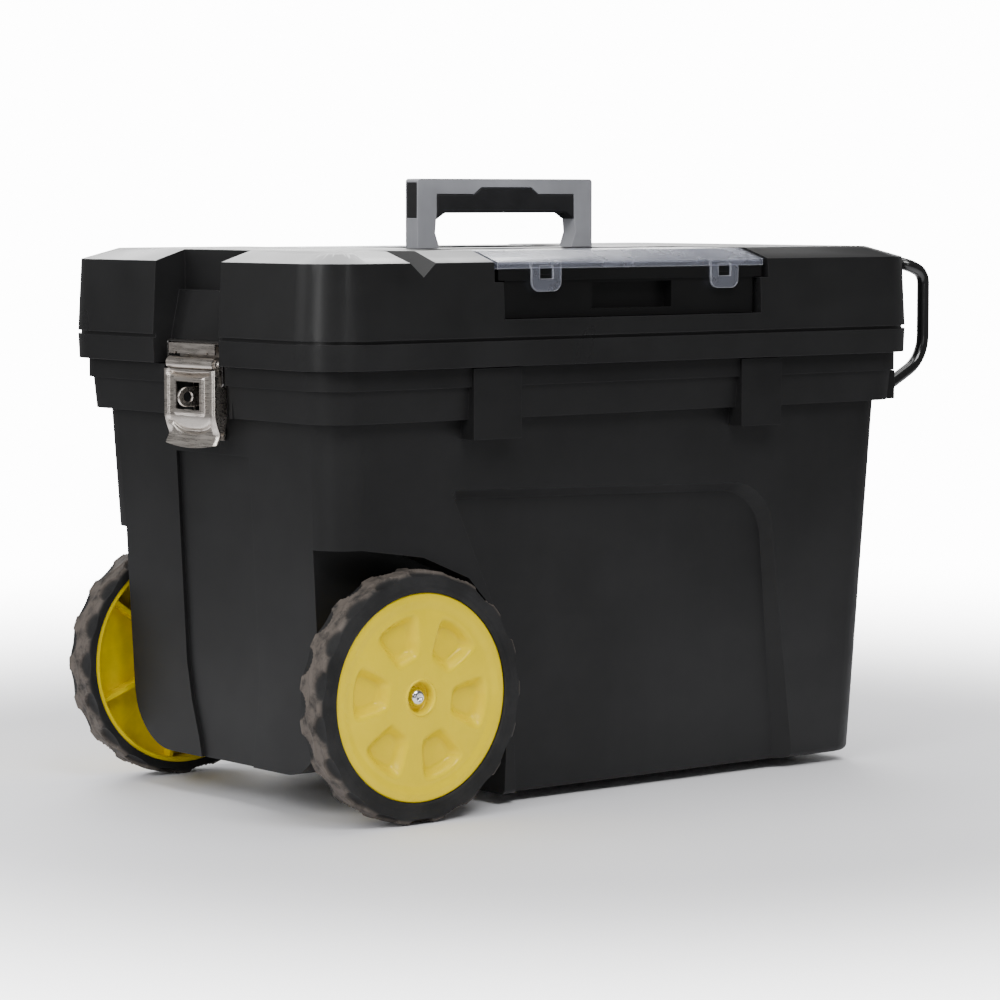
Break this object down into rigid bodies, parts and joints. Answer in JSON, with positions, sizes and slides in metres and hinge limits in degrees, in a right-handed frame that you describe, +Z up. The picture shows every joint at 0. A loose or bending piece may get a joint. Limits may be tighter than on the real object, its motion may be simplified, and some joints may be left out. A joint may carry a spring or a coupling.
{
  "type": "rolling tool box",
  "caption": "Black rolling tool box with yellow wheels, lift-off lid with lift-out organisers, folding carry handle, toggle latches and a pull-out tow handle.",
  "frame": {"origin": "on the floor, under the middle of the whole box's length and width", "axes": "+X along the box towards the tow handle, wheels at -X; -Y is the front with the groove in the lid's shoulder; +Z up"},
  "size_m": [0.6134, 0.337, 0.45],
  "materials": {
    "body_black": "black moulded polypropylene, fine satin grain",
    "lid_black": "black moulded polypropylene, smoother and glossier than the tub",
    "wheel_yellow": "glossy yellow plastic",
    "tyre_black": "black tyre with dusty lug tops",
    "plated_steel": "bright nickel-plated pressed steel",
    "bright_steel": "bright zinc-plated steel",
    "chrome": "polished chrome",
    "wire_steel": "drawn steel wire, darkened",
    "rod_black": "glossy black paint on steel rod",
    "nylon_black": "black nylon",
    "handle_grey": "mid grey moulded plastic, satin",
    "grip_black": "soft black grip",
    "bin_black": "black moulded plastic",
    "tray_black": "black moulded plastic",
    "clear_plastic": "milky clear plastic with bright edges"
  },
  "bodies": {
    "tub": {"tub": "body_black", "axle": "bright_steel", "axle_caps": "chrome", "wheel_washers": "bright_steel", "tow_bushes": "nylon_black", "tow_guide_front": "nylon_black", "tow_guide_back": "nylon_black", "guide_screws": "bright_steel", "latch_base_left": "plated_steel", "latch_rivets_left": "plated_steel", "padlock_staple_left": "plated_steel", "latch_pivot_pin_left": "plated_steel", "latch_base_right": "plated_steel", "latch_rivets_right": "plated_steel", "padlock_staple_right": "plated_steel", "latch_pivot_pin_right": "plated_steel"},
    "lid": {"lid": "lid_black", "carry_handle_pins": "nylon_black", "strike_plate_left": "plated_steel", "strike_rivets_left": "plated_steel", "strike_plate_right": "plated_steel", "strike_rivets_right": "plated_steel"},
    "carry_handle": {"carry_handle_frame": "handle_grey", "carry_handle_grip": "grip_black", "carry_handle_side_grips": "grip_black"},
    "tow_handle": {"tow_handle": "rod_black", "tow_stops": "nylon_black"},
    "tote_tray": {"tote_tray": "tray_black", "tote_tray_handle": "tray_black"},
    "wheel_front": {"wheel_front": "wheel_yellow", "tyre_front": "tyre_black"},
    "wheel_back": {"wheel_back": "wheel_yellow", "tyre_back": "tyre_black"},
    "organiser_front": {"organiser_bin_front": "bin_black", "organiser_dividers_front": "bin_black", "organiser_hinge_pin_front": "bright_steel"},
    "organiser_lid_front": {"organiser_lid_front": "clear_plastic"},
    "organiser_back": {"organiser_bin_back": "bin_black", "organiser_dividers_back": "bin_black", "organiser_hinge_pin_back": "bright_steel"},
    "organiser_lid_back": {"organiser_lid_back": "clear_plastic"},
    "latch_lever_left": {"latch_lever_left": "plated_steel"},
    "latch_bail_left": {"latch_bail_left": "wire_steel"},
    "latch_lever_right": {"latch_lever_right": "plated_steel"},
    "latch_bail_right": {"latch_bail_right": "wire_steel"}
  },
  "joints": [
    {"name": "wheel_front_spin", "type": "hinge", "parent": "tub", "child": "wheel_front", "pos_m": [-0.21155, -0.1473, 0.089], "axis": [0, 1, 0], "continuous": true},
    {"name": "wheel_back_spin", "type": "hinge", "parent": "tub", "child": "wheel_back", "pos_m": [-0.21155, 0.1473, 0.089], "axis": [0, 1, 0], "continuous": true},
    {"name": "lid_lift", "type": "slide", "parent": "tub", "child": "lid", "axis": [0, 0, 1], "range_m": [0, 0.3]},
    {"name": "tray_lift", "type": "slide", "parent": "tub", "child": "tote_tray", "axis": [0, 0, 1], "range_m": [0, 0.15]},
    {"name": "carry_handle_fold", "type": "hinge", "parent": "lid", "child": "carry_handle", "pos_m": [-0.02215, -0.0105, 0.386], "axis": [-1, 0, 0], "range_deg": [0, 90]},
    {"name": "organiser_front_lift", "type": "slide", "parent": "lid", "child": "organiser_front", "axis": [0, 0, 1], "range_m": [0, 0.1]},
    {"name": "organiser_lid_front_open", "type": "hinge", "parent": "organiser_front", "child": "organiser_lid_front", "pos_m": [-0.02215, -0.066, 0.3935], "axis": [-1, 0, 0], "range_deg": [0, 95]},
    {"name": "organiser_back_lift", "type": "slide", "parent": "lid", "child": "organiser_back", "axis": [0, 0, 1], "range_m": [0, 0.1]},
    {"name": "organiser_lid_back_open", "type": "hinge", "parent": "organiser_back", "child": "organiser_lid_back", "pos_m": [-0.02215, 0.066, 0.3935], "axis": [1, 0, 0], "range_deg": [0, 95]},
    {"name": "latch_lever_left_swing", "type": "hinge", "parent": "tub", "child": "latch_lever_left", "pos_m": [-0.29245, 0, 0.3186], "axis": [0, 1, 0], "range_deg": [0, 105]},
    {"name": "latch_bail_left_swing", "type": "hinge", "parent": "latch_lever_left", "child": "latch_bail_left", "pos_m": [-0.29095, 0, 0.3036], "axis": [0, -1, 0], "range_deg": [0, 132]},
    {"name": "latch_lever_right_swing", "type": "hinge", "parent": "tub", "child": "latch_lever_right", "pos_m": [0.26315, 0, 0.3186], "axis": [0, -1, 0], "range_deg": [0, 105]},
    {"name": "latch_bail_right_swing", "type": "hinge", "parent": "latch_lever_right", "child": "latch_bail_right", "pos_m": [0.26165, 0, 0.3036], "axis": [0, 1, 0], "range_deg": [0, 132]},
    {"name": "tow_handle_pull", "type": "slide", "parent": "tub", "child": "tow_handle", "axis": [1, 0, 0], "range_m": [0, 0.33]}
  ],
  "couplings": [
    {"joint": "tray_lift", "follows": "lid_lift", "ratio": 0.5},
    {"joint": "latch_bail_left_swing", "follows": "latch_lever_left_swing", "ratio": 1.25},
    {"joint": "latch_bail_right_swing", "follows": "latch_lever_right_swing", "ratio": 1.25}
  ]
}
